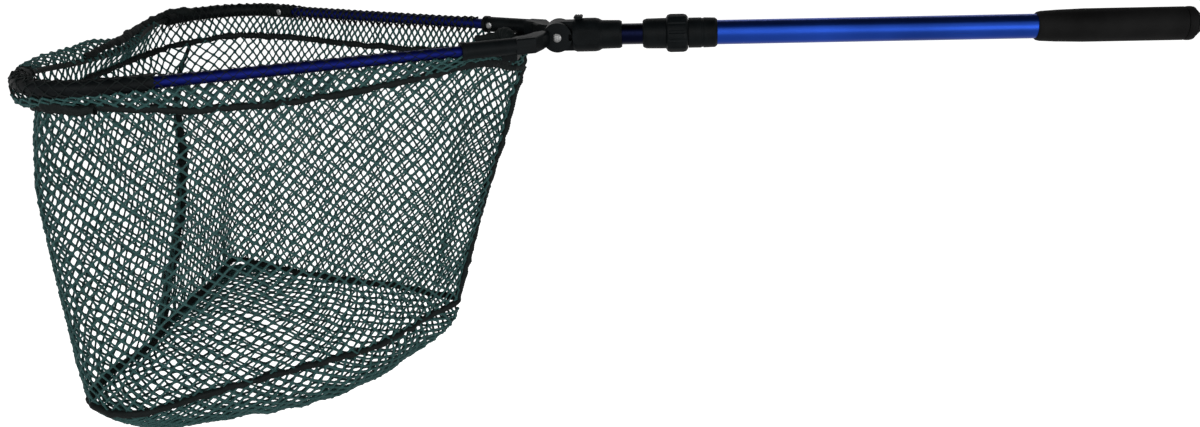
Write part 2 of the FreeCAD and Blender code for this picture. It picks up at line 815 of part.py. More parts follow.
def make_front_sleeve():
    body = new_body("front_sleeve")
    outline = box_outline("-442", "-440", "-128", "128")
    pad_outline(body, "XY", "-sleeve_depth / 2 - 1", outline, "sleeve_depth - 3")


def make_loop(name, plan, level, radius, corner):
    """A closed seam cord in a level plane, with rounded corners."""
    points = [(x, y, number(level)) for x, y in plan]
    new_shape(name, tube_along(route_wire(name, points, True, corner), number(radius)))


def make_seam(name, points, radius):
    new_shape(name, tube_along(route_wire(name, points, False), number(radius)))


def band(line):
    """A closed outline half the netting's thickness to each side of a line in plan."""
    half = number("net_thickness / 2")
    points = [FreeCAD.Vector(x, y, 0) for x, y in line]
    left = []
    right = []
    for i, point in enumerate(points):
        before = points[max(i - 1, 0)]
        after = points[min(i + 1, len(points) - 1)]
        along = (after - before).normalize()
        across = FreeCAD.Vector(-along.y, along.x, 0) * half
        left.append(point + across)
        right.append(point - across)
    return [(f"{p.x:.3f}", f"{p.y:.3f}") for p in left + right[::-1]]


def loft(body, kind, top, top_level, bottom, bottom_level):
    first = new_sketch(body, "XY", top_level)
    add_outline(first, top)
    second = new_sketch(body, "XY", bottom_level)
    add_outline(second, bottom)
    feature = add_feature(body, kind, first)
    feature.Sections = [second]
    feature.Ruled = True


def make_wall(name, top_line, bottom_line):
    body = new_body(name)
    loft(body, "AdditiveLoft", band(top_line), "wall_top", band(bottom_line), "wall_bottom")


def make_bottom_net():
    """The bottom netting: a shallow three-cornered bowl that sags below its binding."""
    body = new_body("bottom_net")
    rim = [("-112", "0"), ("-411", "-182"), ("-401", "150")]
    sag = [("-190", "-30"), ("-362", "-128"), ("-356", "30")]
    loft(body, "AdditiveLoft", rim, "bag_floor_top", sag, "bag_floor")
    rim_inside = [("-120", "-1"), ("-407", "-174"), ("-398", "144")]
    sag_inside = [("-196", "-30"), ("-358", "-122"), ("-352", "24")]
    loft(body, "SubtractiveLoft", rim_inside, "bag_floor_top", sag_inside, "bag_floor + net_thickness")


# ---------------------------------------------------------------- the whole net

make_outer_tube()
make_grip()
make_butt_cap()
make_lock_collet()
make_lock_ring()
make_lock_sleeve()
make_inner_tube()
make_guide_bush()
make_handle_socket()
make_latch_slider()
make_latch_spring()
make_hinge_pin()
make_pin_clip()
make_yoke()
for arm_side, side_name in ((NEAR, "near"), (FAR, "far")):
    make_arm(side_name + "_arm", arm_side)
    make_corner(side_name + "_corner", arm_side)
    make_sleeve(side_name + "_sleeve", arm_side)
make_rivets("yoke_rivets", number("-rivet_in_yoke"), number("yoke_socket_radius"))
make_rivets("corner_rivets", number("arm_length + rivet_in_corner"), number("corner_radius"))
make_cord_plugs()
make_front_cord()
make_front_sleeve()
hem_plan = HEM_HALF + [(x, -y) for x, y in reversed(HEM_HALF)]
make_loop("hem_binding", hem_plan, "hem_level", "hem_radius", 45)
make_loop("bottom_binding", BOTTOM_PLAN, "binding_level", "binding_radius", 16)
make_seam("yoke_seam", YOKE_SEAM, "yoke_seam_radius")
make_seam("front_seam", FRONT_SEAM, "front_seam_radius")
for wall_name, (wall_top_line, wall_bottom_line) in WALLS.items():
    make_wall(wall_name, wall_top_line, wall_bottom_line)
make_bottom_net()

doc.recompute()

for item in doc.Objects:
    if "Invalid" in item.State or "Error" in item.State:
        raise RuntimeError(f"{item.Label} failed: {item.State}")
os.makedirs("parts", exist_ok=True)
for piece in parts:
    if piece.Shape.isNull() or not piece.Shape.isValid():
        raise RuntimeError(f"{piece.Label} has no valid shape")
for piece in parts:
    piece.Shape.exportStep(os.path.join("parts", piece.Label + ".step"))
    print(piece.Label, len(piece.Shape.Solids), round(piece.Shape.Volume))
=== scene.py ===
import json
import math

import bpy
import numpy as np
from mathutils import Matrix, Vector


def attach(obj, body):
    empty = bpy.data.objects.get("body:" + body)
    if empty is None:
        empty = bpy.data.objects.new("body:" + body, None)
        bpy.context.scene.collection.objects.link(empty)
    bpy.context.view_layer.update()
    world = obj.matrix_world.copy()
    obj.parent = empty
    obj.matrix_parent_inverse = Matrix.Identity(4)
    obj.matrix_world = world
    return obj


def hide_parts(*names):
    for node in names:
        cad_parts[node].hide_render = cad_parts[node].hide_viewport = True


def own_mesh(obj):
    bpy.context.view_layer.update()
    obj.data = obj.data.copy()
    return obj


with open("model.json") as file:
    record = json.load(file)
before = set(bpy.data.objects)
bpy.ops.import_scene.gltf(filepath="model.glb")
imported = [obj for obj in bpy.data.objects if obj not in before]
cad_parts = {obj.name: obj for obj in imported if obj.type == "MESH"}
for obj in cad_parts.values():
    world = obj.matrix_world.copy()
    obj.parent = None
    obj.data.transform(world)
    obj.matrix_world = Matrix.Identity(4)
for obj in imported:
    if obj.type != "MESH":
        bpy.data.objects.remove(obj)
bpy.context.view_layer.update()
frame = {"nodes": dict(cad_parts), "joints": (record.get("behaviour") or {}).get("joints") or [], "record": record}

FOLD = next(joint for joint in frame["joints"] if joint["name"] == "head_fold")
HINGE = np.array(FOLD["pos_m"])
MM = 0.001
noise = np.random.default_rng(seed=7)


def at(x, y, z):
    """A point given in millimetres from the hinge pin, as a place in the shared frame."""
    return HINGE + np.array((x, y, z), float) * MM


# ---------------------------------------------------------------- camera

# Its place, direction and lens are fitted to the hoop and the handle in the photo.
camera_data = bpy.data.cameras.new("camera")
camera_data.sensor_width = 36
camera_data.lens = 33
camera_data.shift_x = -0.0238
camera_data.shift_y = -0.0076
camera = bpy.data.objects.new("camera", camera_data)
bpy.context.scene.collection.objects.link(camera)
look = Vector((-0.0351, 0.9457, -0.3230)).normalized()
upward = Vector((0.0139, 0.3237, 0.9461))
right = look.cross(upward).normalized()
turned = Matrix((right, right.cross(look), -look)).transposed()
camera.matrix_world = Matrix.Translation(at(97, -997.8, 176.7)) @ turned.to_4x4()
bpy.context.scene.camera = camera

# ---------------------------------------------------------------- materials


def new_material(name):
    """A material and its shader."""
    material = bpy.data.materials.new(name)
    material.use_nodes = True
    return material, material.node_tree.nodes["Principled BSDF"]


def link(material, out_socket, in_socket):
    material.node_tree.links.new(out_socket, in_socket)


def add_node(material, kind, **settings):
    node = material.node_tree.nodes.new("ShaderNode" + kind)
    for key, value in settings.items():
        if key in node.inputs:
            node.inputs[key].default_value = value
        else:
            setattr(node, key, value)
    return node


def stretched(material, scale):
    """The object's own coordinates, scaled along each axis."""
    place = add_node(material, "TexCoord")
    mapping = add_node(material, "Mapping")
    mapping.inputs["Scale"].default_value = scale
    link(material, place.outputs["Object"], mapping.inputs["Vector"])
    return mapping.outputs["Vector"]


def noise_texture(material, scale, detail, along=(1, 1, 1)):
    texture = add_node(material, "TexNoise", Scale=scale, Detail=detail)
    link(material, stretched(material, along), texture.inputs["Vector"])
    return texture.outputs["Fac"]


def ramp(material, factor, *stops):
    """A colour that follows factor through stops of (place, colour)."""
    node = add_node(material, "ValToRGB")
    elements = node.color_ramp.elements
    while len(elements) < len(stops):
        elements.new(0.5)
    for element, (place, colour) in zip(elements, stops):
        element.position = place
        element.color = (*colour, 1)
    link(material, factor, node.inputs["Fac"])
    return node.outputs["Color"]


def vary_roughness(material, shader, factor, low, high):
    """Roughness that goes from low to high with a factor from 0 to 1."""
    node = add_node(material, "MapRange")
    node.inputs["To Min"].default_value = low
    node.inputs["To Max"].default_value = high
    link(material, factor, node.inputs["Value"])
    link(material, node.outputs["Result"], shader.inputs["Roughness"])


def bump(material, shader, height, distance, strength):
    node = add_node(material, "Bump", Strength=strength, Distance=distance)
    link(material, height, node.inputs["Height"])
    link(material, node.outputs["Normal"], shader.inputs["Normal"])


def shade(colour):
    """A darker and a lighter tone of one colour."""
    return [tuple(c * k for c in colour) for k in (0.7, 1.3)]


def anodised(name, colour, roughness):
    """Drawn aluminium tube with an anodised skin: fine lines along X and a slightly uneven dye."""
    material, shader = new_material(name)
    shader.inputs["Metallic"].default_value = 1
    lines = noise_texture(material, scale=900, detail=2, along=(0.02, 1, 1))
    clouds = noise_texture(material, scale=9, detail=3)
    dark, light = shade(colour)
    link(material, ramp(material, clouds, (0.3, dark), (0.7, light)), shader.inputs["Base Color"])
    vary_roughness(material, shader, lines, roughness - 0.07, roughness + 0.09)
    bump(material, shader, lines, distance=0.00002, strength=0.5)
    return material


def moulded(name, colour, roughness):
    """Injection-moulded plastic with a fine spark-eroded grain and rubbed, slightly paler patches."""
    material, shader = new_material(name)
    fine = noise_texture(material, scale=2200, detail=2)
    patches = noise_texture(material, scale=60, detail=4)
    dark, light = shade(colour)
    link(material, ramp(material, patches, (0.35, dark), (0.7, light)), shader.inputs["Base Color"])
    vary_roughness(material, shader, patches, roughness - 0.08, roughness + 0.12)
    shader.inputs["Specular IOR Level"].default_value = 0.05
    bump(material, shader, fine, distance=0.00006, strength=0.6)
    return material


def foam_rubber(name):
    """The grip's soft closed-cell skin, matt with fine pores."""
    material, shader = new_material(name)
    pores = add_node(material, "TexVoronoi", Scale=1500.0)
    link(material, stretched(material, (1, 1, 1)), pores.inputs["Vector"])
    patches = noise_texture(material, scale=35, detail=4)
    dark, light = (0.002, 0.002, 0.002), (0.006, 0.006, 0.006)
    link(material, ramp(material, patches, (0.3, dark), (0.75, light)), shader.inputs["Base Color"])
    vary_roughness(material, shader, patches, 0.55, 0.72)
    shader.inputs["Specular IOR Level"].default_value = 0.06
    bump(material, shader, pores.outputs["Distance"], distance=0.0001, strength=0.5)
    return material


def bright_metal(name, colour, roughness):
    """Bare metal with fine handling marks, for the pin and the rivets."""
    material, shader = new_material(name)
    shader.inputs["Metallic"].default_value = 1
    marks = noise_texture(material, scale=700, detail=3)
    dark, light = shade(colour)
    link(material, ramp(material, marks, (0.25, dark), (0.6, light)), shader.inputs["Base Color"])
    vary_roughness(material, shader, marks, roughness - 0.08, roughness + 0.12)
    bump(material, shader, marks, distance=0.00004, strength=0.4)
    return material


def thread(name, colour, roughness, twist):
    """Nylon thread or twine: the fibres' ridges as bumps, with painted highlight on their crests and painted shade
    in the grooves between them, and a soft sheen.
    """
    material, shader = new_material(name)
    fibres = noise_texture(material, scale=twist, detail=2)
    clouds = noise_texture(material, scale=25, detail=3)
    dark, light = shade(colour)
    mixed = add_node(material, "Mix", data_type="RGBA", blend_type="MULTIPLY")
    mixed.inputs["Factor"].default_value = 0.6
    # Painted highlight and shade: paler where the fibres' bump stands high, darker where it sinks into the
    # grooves.
    link(material, ramp(material, fibres, (0.3, dark), (0.7, light)), mixed.inputs["A"])
    link(material, ramp(material, clouds, (0.3, (0.6, 0.65, 0.65)), (0.7, (1, 1, 1))), mixed.inputs["B"])
    link(material, mixed.outputs["Result"], shader.inputs["Base Color"])
    shader.inputs["Roughness"].default_value = roughness
    shader.inputs["Specular IOR Level"].default_value = 0.1
    bump(material, shader, fibres, distance=0.00015, strength=0.6)
    return material


MATERIALS = {
    "outer_tube": anodised("anodised_blue", (0.013, 0.05, 0.32), roughness=0.3),
    "inner_tube": anodised("anodised_navy", (0.003, 0.004, 0.015), roughness=0.3),
    "hoop_tube": anodised("anodised_hoop", (0.006, 0.010, 0.10), roughness=0.5),
    "grip": foam_rubber("grip_rubber"),
    "black_plastic": moulded("moulded_black", (0.003, 0.004, 0.0045), roughness=0.42),
    "pin_steel": bright_metal("bright_pin", (0.2, 0.2, 0.2), roughness=0.42),
    "rivet_aluminium": bright_metal("rivet_metal", (0.27, 0.27, 0.27), roughness=0.42),
    "cord": thread("cord_black", (0.012, 0.014, 0.014), roughness=0.6, twist=1500),
    "netting": thread("net_twine", (0.021, 0.061, 0.059), roughness=0.5, twist=900),
    "binding": thread("binding_thread", (0.0045, 0.0068, 0.0068), roughness=0.65, twist=1100),
}

for part in frame["record"]["subparts"]:
    item = frame["nodes"][part["node"]]
    item.data.materials.clear()
    item.data.materials.append(MATERIALS[part["material_slot"]])

# ---------------------------------------------------------------- curves and meshes


def cubic(t, width, low, high, low_slope, high_slope):
    """The smooth curve from low to high with given slopes at its ends, at t from 0 to 1 of its width."""
    return (
        low * (2 * t**3 - 3 * t**2 + 1)
        + low_slope * width * (t**3 - 2 * t**2 + t)
        + high * (3 * t**2 - 2 * t**3)
        + high_slope * width * (t**3 - t**2)
    )


def through(knots, values, where):
    """Points of the smooth curve that passes through values at knots."""
    slopes = np.gradient(values, knots, axis=0)
    i = np.clip(np.searchsorted(knots, where, side="right") - 1, 0, len(knots) - 2)
    width = (knots[i + 1] - knots[i])[:, None]
    t = (where[:, None] - knots[i][:, None]) / width
    return cubic(t, width, values[i], values[i + 1], slopes[i], slopes[i + 1])


def way_along(points):
    """How far every point of a line lies from its start."""
    return np.concatenate(([0], np.cumsum(np.linalg.norm(np.diff(points, axis=0), axis=1))))


# How many points of a closed line are repeated before its first, so that its curve joins smoothly.
LEAD = 2


def looped(points):
    """A closed line's points with some repeated before the first and after the last."""
    return np.concatenate((points[-LEAD:], points, points[: LEAD + 1]))


def path(points, step, closed=False):
    """Evenly spaced points of the smooth curve through points."""
    points = np.array(points, float)
    if closed:
        points = looped(points)
    knots = way_along(points)
    start, end = (knots[LEAD], knots[-1 - LEAD]) if closed else (knots[0], knots[-1])
    where = np.linspace(start, end, int((end - start) / step))
    return through(knots, points, where)


def unit(vectors):
    return vectors / np.maximum(np.linalg.norm(vectors, axis=-1, keepdims=True), 1e-12)


def follow(line, travel, where):
    """Points of a line whose points lie at travel, at other places along it."""
    return np.stack([np.interp(where, travel, line[:, k]) for k in range(3)], axis=1)


def make_mesh(name, points, quads, material):
    """A smooth-shaded object of four-sided faces that rides on the head."""
    mesh = bpy.data.meshes.new(name)
    mesh.vertices.add(len(points))
    mesh.vertices.foreach_set("co", np.asarray(points, np.float32).ravel())
    mesh.loops.add(quads.size)
    mesh.loops.foreach_set("vertex_index", quads.astype(np.int32).ravel())
    mesh.polygons.add(len(quads))
    mesh.polygons.foreach_set("loop_start", np.arange(0, quads.size, 4, dtype=np.int32))
    mesh.polygons.foreach_set("use_smooth", np.ones(len(quads), bool))
    mesh.update(calc_edges=True)
    mesh.validate()
    mesh.materials.append(MATERIALS[material])
    item = bpy.data.objects.new(name, mesh)
    bpy.context.scene.collection.objects.link(item)
    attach(item, "head")
    return item


def grid_quads(rows, columns, closed_rows=False):
    """The faces between the points of a rows x columns grid whose columns close on themselves."""
    r, c = np.meshgrid(np.arange(rows if closed_rows else rows - 1), np.arange(columns), indexing="ij")
    below = (r + 1) % rows
    beside = (c + 1) % columns
    corners = (r * columns + c, r * columns + beside, below * columns + beside, below * columns + c)
    return np.stack(corners, axis=-1).reshape(-1, 4)


def frames(points, closed=False):
    """Along, across and upright directions at every point of a path."""
    if closed:
        along = unit(np.roll(points, -1, axis=0) - np.roll(points, 1, axis=0))
    else:
        along = unit(np.gradient(points, axis=0))
    steep = (np.abs(along[:, 2]) > 0.8).any()
    # A direction that the path doesn't run along.
    upright = (1.0, 0.05, 0.03) if steep else (0.03, 0.05, 1.0)
    across = unit(np.cross(along, upright))
    return along, across, np.cross(across, along)


# How a sewn cord leaves an even round: lumps, fuzz and ribs as shares of its radius, how far it sways,
# over what length a closed cord evens out where its ends meet, and how far its knot reaches.
LUMPS = 0.1
FUZZ = 0.03
RIBS = 0.16
SWAY = 0.6 * MM
JOIN = 20 * MM
KNOT_REACH = 7 * MM
# The length of one step along a sewn cord.
CORD_STEP = 1.1 * MM


def sewn_cord(name, points, radius, closed=False, flat=1.0, knot=None, pitch=5.5 * MM, sides=12):
    """A seam's thick edge: netting bunched under thread wound round it, so it's lumpy and ribbed.

    The radius is one number, or one for every point. A flat seam is narrow and stands up as a rib.
    """
    along, across, upright = frames(points, closed)
    rows = len(points)
    travelled = way_along(points)
    length = travelled[-1]
    angle = np.linspace(0, 2 * math.pi, sides, endpoint=False)
    winding = angle[None] + travelled[:, None] * 2 * math.pi / pitch
    marks = 3 + rows // 6
    mark_at = np.linspace(0, length, marks)
    lumps = np.interp(travelled, mark_at, noise.normal(0, LUMPS, marks))
    sway = follow(noise.normal(0, SWAY, (marks, 3)), mark_at, travelled)
    if closed:
        fade = np.minimum(1, np.minimum(travelled, length - travelled) / JOIN)
        lumps = lumps * fade
        sway = sway * fade[:, None]
    radius = np.broadcast_to(radius, rows)[:, None]
    size = radius * (0.9 + RIBS * np.abs(np.sin(winding)) + lumps[:, None])
    size = size + radius * noise.normal(0, FUZZ, size.shape)
    if knot is not None:
        gap = np.linalg.norm(points - knot, axis=1)
        size = size * (1 + np.exp(-((gap / KNOT_REACH) ** 2)))[:, None]
    wide = np.cos(angle)[None, :, None] * across[:, None] * flat
    ring = wide + np.sin(angle)[None, :, None] * upright[:, None] / flat
    skin = (points + sway)[:, None] + ring * size[..., None]
    return make_mesh(name, skin.reshape(-1, 3), grid_quads(rows, sides, closed), "binding")


# ---------------------------------------------------------------- front cord

# The route between the two corner pieces, in millimetres from the hinge pin.
CORD_ROUTE = [
    (-420.8, -142.8, 0),
    (-423.4, -128, 0),
    (-428.5, -104, -2.5),
    (-418, -58, -6),
    (-413, -4, -8),
    (-417, 52, -7),
    (-427.5, 102, -3),
    (-423.4, 128, 0),
    (-420.8, 142.8, 0),
]


def make_front_cord():
    curve = bpy.data.curves.new("front_cord_line", "CURVE")
    curve.dimensions = "3D"
    curve.bevel_depth = 2.5 * MM
    curve.bevel_resolution = 6
    curve.resolution_u = 24
    curve.use_fill_caps = True
    spline = curve.splines.new("NURBS")
    spline.points.add(len(CORD_ROUTE) - 1)
    for point, place in zip(spline.points, CORD_ROUTE):
        point.co = (*at(*place), 1)
    spline.order_u = 3
    spline.use_endpoint_u = True
    curve.materials.append(MATERIALS["cord"])
    item = bpy.data.objects.new("front_cord_braid", curve)
    bpy.context.scene.collection.objects.link(item)
    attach(item, "head")
    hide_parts("front_cord")


make_front_cord()

# ---------------------------------------------------------------- the bag's shape

# Stations round the bag from the yoke seam, along the near side, across the front and back along the
# far side. Each has a point on the hem, three on the way down and one on the bottom binding.
BAG = [
    [(-35, 0, -29), (-55, 0, -92), (-77, 0, -149), (-94, 0, -203), (-112, 0, -262)],
    [(-64, -48, -15), (-84, -45, -85), (-104, -38, -148), (-121, -30, -208), (-138, -22, -270)],
    [(-112, -85, -19), (-126, -84, -84), (-142, -80, -148), (-157, -75, -210), (-174, -71, -275)],
    [(-190, -122, -26), (-200, -124, -88), (-210, -121, -150), (-219, -115, -212), (-228, -112, -275)],
    [(-270, -160, -25), (-280, -164, -90), (-288, -166, -152), (-296, -163, -214), (-303, -163, -276)],
    [(-345, -182, -17), (-348, -188, -88), (-352, -190, -153), (-354, -193, -216), (-353, -194, -278)],
    [(-399, -162, -20), (-410, -167, -88), (-408, -168, -150), (-406, -168, -214), (-404, -168, -278)],
    [(-428, -110, -30), (-427, -118, -90), (-423, -124, -152), (-417, -128, -214), (-409, -129, -277)],
    [(-439, -30, -32), (-426, -44, -92), (-414, -54, -152), (-404, -62, -214), (-396, -66, -276)],
    [(-444, 40, -32), (-428, 22, -92), (-414, 10, -152), (-404, 0, -214), (-400, -6, -275)],
    [(-441, 105, -32), (-424, 90, -92), (-411, 74, -152), (-401, 64, -214), (-394, 60, -274)],
    [(-425, 160, -31), (-415, 146, -92), (-406, 136, -152), (-399, 124, -214), (-391, 106, -273)],
    [(-385, 188, -28), (-388, 174, -90), (-390, 161, -150), (-392, 150, -210), (-395, 143, -273)],
    [(-310, 172, -27), (-318, 157, -88), (-325, 142, -148), (-331, 130, -209), (-338, 117, -271)],
    [(-225, 136, -30), (-236, 122, -87), (-245, 108, -147), (-254, 94, -208), (-264, 80, -270)],
    [(-140, 98, -30), (-155, 88, -85), (-170, 78, -146), (-184, 67, -207), (-198, 58, -269)],
    [(-72, 55, -26), (-90, 48, -84), (-106, 42, -147), (-122, 34, -208), (-138, 26, -267)],
]
# The stations at the two corner pieces, at the bottom binding's knot and halfway along the far side.
NEAR_CORNER = 6
FAR_CORNER = 12
KNOT_STATION = 11
FAR_MIDDLE = 14

bag_rows = np.array([[at(*place) for place in station] for station in BAG])
bag_loop = looped(bag_rows)
station_at = way_along(bag_loop.mean(axis=1))
station_at = station_at - station_at[LEAD]
DEPTHS = np.linspace(0, 1, bag_rows.shape[1])


def way_to(station):
    """The way round to a station from the yoke seam, in metres."""
    return station_at[LEAD + station]


bag_round = way_to(len(BAG))


def bag_wall(travel, depth):
    """Points of the bag's wall, by the way round from the yoke seam in metres and a depth from 0 to 1."""
    travel = np.mod(travel, bag_round)
    rows = [through(station_at, bag_loop[:, row], travel) for row in range(len(DEPTHS))]
    rows = np.stack(rows, axis=1)
    slopes = np.gradient(rows, DEPTHS, axis=1)
    step = DEPTHS[1]
    row = np.clip((depth / step).astype(int), 0, len(DEPTHS) - 2)
    t = (depth / step - row)[:, None]
    each = np.arange(len(depth))
    below = row + 1
    return cubic(t, step, rows[each, row], rows[each, below], slopes[each, row], slopes[each, below])


def wall_outward(travel, depth):
    """The wall's outward direction, from places a little way off on each side."""
    reach = 4 * MM
    dip = 0.02
    round_way = bag_wall(travel + reach, depth) - bag_wall(travel - reach, depth)
    lower, upper = np.minimum(depth + dip, 1), np.maximum(depth - dip, 0)
    down_way = bag_wall(travel, lower) - bag_wall(travel, upper)
    return unit(np.cross(round_way, down_way))


def waves(travel, depth, length, slant, phase):
    """Waves of one length round the bag, in metres, that slant with the depth."""
    return np.sin(2 * math.pi * (travel / length + slant * depth) + phase)


def folds(travel, depth):
    """How far limp netting stands in or out of its even shape: slack folds, and gathers at both edges.

    The waves' heights are in millimetres, and edge is the gathers' share of the depth.
    """
    edge = 0.07
    slack = -3.0 * waves(travel, depth, 0.19, 0.7, 0.4) * waves(travel, depth, 0.31, -0.5, 1.9)
    slack = slack - 1.6 * waves(travel, depth, 0.083, -0.9, 0.7) * np.sin(math.pi * depth)
    gathers = 1.5 * waves(travel, depth, 0.017, 0.4, 0) * np.exp(-depth / edge)
    puckers = 1.7 * waves(travel, depth, 0.021, -0.3, 1.1) * np.exp(-(1 - depth) / edge)
    inside = np.minimum(1, 10 * depth * (1 - depth))
    return (slack * inside + gathers + puckers) * MM


def draped_wall(travel, depth):
    return bag_wall(travel, depth) + wall_outward(travel, depth) * folds(travel, depth)[:, None]


# The front seam leaves the hem on the far half of the front and slants to the near half of the bottom.
SEAM_DEPTHS = np.array((0, 0.25, 0.5, 0.75, 1.0))
SEAM_ACROSS = (170, 126, 92, 32, -39)


def travel_of(across, depth):
    """The way round to the place on the bag's front that lies a distance across it, in millimetres."""
    ways = np.linspace(way_to(NEAR_CORNER), way_to(FAR_CORNER), 400)
    places = bag_wall(ways, np.full_like(ways, depth))[:, 1] / MM
    return np.interp(across, places, ways)


SEAM_TRAVEL = np.array([travel_of(across, depth) for across, depth in zip(SEAM_ACROSS, SEAM_DEPTHS)])


def seam_travel(depth):
    return through(SEAM_DEPTHS, SEAM_TRAVEL[:, None], depth)[:, 0]


# ---------------------------------------------------------------- netting

CELL_WIDTH = 12.9 * MM
CELL_HEIGHT = 10.9 * MM
KNOT_SHIFT = 0.022 * CELL_WIDTH
STRAND = 1.03 * MM
FAR_STRAND = 1.0 * MM
BOTTOM_STRAND = 1.22 * MM
STRAND_BOW = 0.3 * MM


def diamonds(width, height):
    """The knots of a diamond mesh over a rectangle, and the strands between them."""
    columns = 2 * round(width / CELL_WIDTH)
    rows = 2 * round(height / CELL_HEIGHT)
    r, c = np.meshgrid(np.arange(rows + 1), np.arange(columns + 1), indexing="ij")
    knots = np.stack((c / columns * width, r / rows * height), axis=-1).reshape(-1, 2)
    real = ((r + c) % 2 == 0).ravel()
    index = np.arange(len(knots)).reshape(rows + 1, columns + 1)
    down_right = np.stack((index[:-1, :-1].ravel(), index[1:, 1:].ravel()), axis=1)
    down_left = np.stack((index[:-1, 1:].ravel(), index[1:, :-1].ravel()), axis=1)
    strands = np.vstack((down_right, down_left))
    strands = strands[real[strands[:, 0]]]
    knots = knots + noise.normal(0, KNOT_SHIFT, knots.shape)
    return np.clip(knots, 0, (width, height)), strands


# Along one strand from knot to knot: how far along, how thick, and how much of its own bow it has.
STRAND_PROFILE = np.array([
    (0, 1.35, 0), (0.12, 1.3, 0.3), (0.24, 0.95, 0.75),
    (0.76, 0.95, 0.75), (0.88, 1.3, 0.3), (1, 1.35, 0),
])
STRAND_SIDES = 6
# A direction that no strand runs along.
OFF_STRANDS = (0.31, 0.17, 0.93)


def twine(name, knots, strands, radius, material="netting", knotted=1.0):
    """A piece of netting: a thin tube for every strand, thickened at its knots unless knotted is 0."""
    start = knots[strands[:, 0]]
    run = knots[strands[:, 1]] - start
    long_enough = np.linalg.norm(run, axis=1) > 2 * radius
    start, run = start[long_enough], run[long_enough]
    count = len(run)
    along = unit(run)
    side = unit(np.cross(along, OFF_STRANDS))
    other = np.cross(along, side)
    angle = (np.arange(STRAND_SIDES) + 0.5) * 2 * math.pi / STRAND_SIDES
    ring = np.cos(angle)[None, :, None] * side[:, None] + np.sin(angle)[None, :, None] * other[:, None]
    bow = knotted * noise.normal(0, STRAND_BOW, (count, 1, 3)) * STRAND_PROFILE[None, :, 2:]
    centre = start[:, None] + run[:, None] * STRAND_PROFILE[None, :, :1] + bow
    thick = radius * noise.uniform(0.88, 1.14, (count, 1)) * STRAND_PROFILE[None, :, 1] ** knotted
    points = centre[:, :, None] + ring[:, None] * thick[:, :, None, None]
    tube = grid_quads(len(STRAND_PROFILE), STRAND_SIDES)
    step = len(STRAND_PROFILE) * STRAND_SIDES
    quads = tube[None] + (np.arange(count) * step)[:, None, None]
    return make_mesh(name, points.reshape(-1, 3), quads.reshape(-1, 4), material)


# The wall's netting is laid flat a little longer than the way round, and cut to this depth in metres.
WALL_DEPTH = 0.238
WALL_OVERLAP = 0.01


def wall_netting(name, lines, low, high, radius, gathered, *stands_for):
    """Netting over the wall between two lines down it, kept to the ways round from low to high."""
    flat, strands = diamonds((bag_round + 2 * WALL_OVERLAP) * gathered, WALL_DEPTH)
    travel = flat[:, 0] / gathered - WALL_OVERLAP
    depth = flat[:, 1] / WALL_DEPTH
    first, last = lines
    start, end = first(depth), last(depth)
    inside = (travel > start) & (travel < end)
    ours = inside[strands].any(axis=1)
    middle = travel[strands].mean(axis=1)
    ours &= (middle >= low) & (middle < high)
    place = draped_wall(np.clip(travel, start, end), depth)
    item = twine(name, place, strands[ours], radius)
    if stands_for:
        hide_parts(*stands_for)
    return item


def yoke_seam_near(depth):
    return np.zeros_like(depth)


def yoke_seam_far(depth):
    return np.full_like(depth, bag_round)


near_half = (yoke_seam_near, seam_travel)
far_half = (seam_travel, yoke_seam_far)
near_end = way_to(NEAR_CORNER)
far_end = way_to(FAR_CORNER)
rear_end = way_to(FAR_MIDDLE)
# The ways round of pieces that begin or end at a line down the wall instead.
START = -math.inf
END = math.inf
# The strands' radius, and how many times the way round the netting is laid.
NEAR_LAY = (STRAND, 1)
FAR_LAY = (FAR_STRAND, 1.4)
bag_pieces = [
    wall_netting("near_netting", near_half, START, near_end, *NEAR_LAY, "near_side_net"),
    wall_netting("near_front_netting", near_half, near_end, END, *NEAR_LAY, "front_net"),
    wall_netting("far_front_netting", far_half, START, far_end, *FAR_LAY),
    wall_netting("far_netting", far_half, far_end, rear_end, *FAR_LAY, "far_side_net"),
    wall_netting("rear_netting", far_half, rear_end, END, *FAR_LAY),
]

# ---------------------------------------------------------------- bottom netting

# The flat piece's size, its turn against the hoop, how much longer it is than the straight way across,
# and how far it sags.
BOTTOM_SPAN = 0.42
BOTTOM_TURN = math.radians(24)
SLACK = 1.2
SAG = 66 * MM

bottom_loop = path(bag_rows[:, -1], 3 * MM, closed=True)
bottom_heart = at(-300, -35, -272)
heart_angle = np.arctan2(*(bottom_loop - bottom_heart)[:, 1::-1].T)
order = np.argsort(heart_angle)
ring_angle = heart_angle[order]
ring_places = bottom_loop[order]
front_edge = at(-412, 0, 0)[0]


def bottom_sheet(flat):
    """Sagging netting inside the bottom binding, from places measured from the flat piece's middle."""
    angle = np.arctan2(flat[:, 1], flat[:, 0])
    columns = [np.interp(angle, ring_angle, column, period=2 * math.pi) for column in ring_places.T]
    inward = np.stack(columns, axis=1) - bottom_heart
    reach = np.linalg.norm(inward[:, :2], axis=1) * SLACK
    share = np.minimum(1, np.linalg.norm(flat, axis=1) / reach)
    place = bottom_heart + inward * (np.sin(share * math.pi / 2) ** 0.95)[:, None]
    fall = (1 - share**2) ** 0.9
    behind_front = np.clip((place[:, 0] - front_edge) / 0.21, 0, 1)
    fall = fall * (0.12 + 0.88 * np.sin(behind_front * math.pi / 2))
    near = np.clip((bottom_heart[1] - place[:, 1]) / 0.10, -1, 1)
    place[:, 2] -= SAG * fall * (1 + 0.12 * near)
    crumple = 2.0 * np.sin(flat[:, 0] / 0.023) * np.sin(flat[:, 1] / 0.019 + 1) + 1.2 * np.sin(angle * 17)
    place[:, 2] += crumple * MM * np.clip(4 * share * (1 - share), 0, 1)
    return place, share


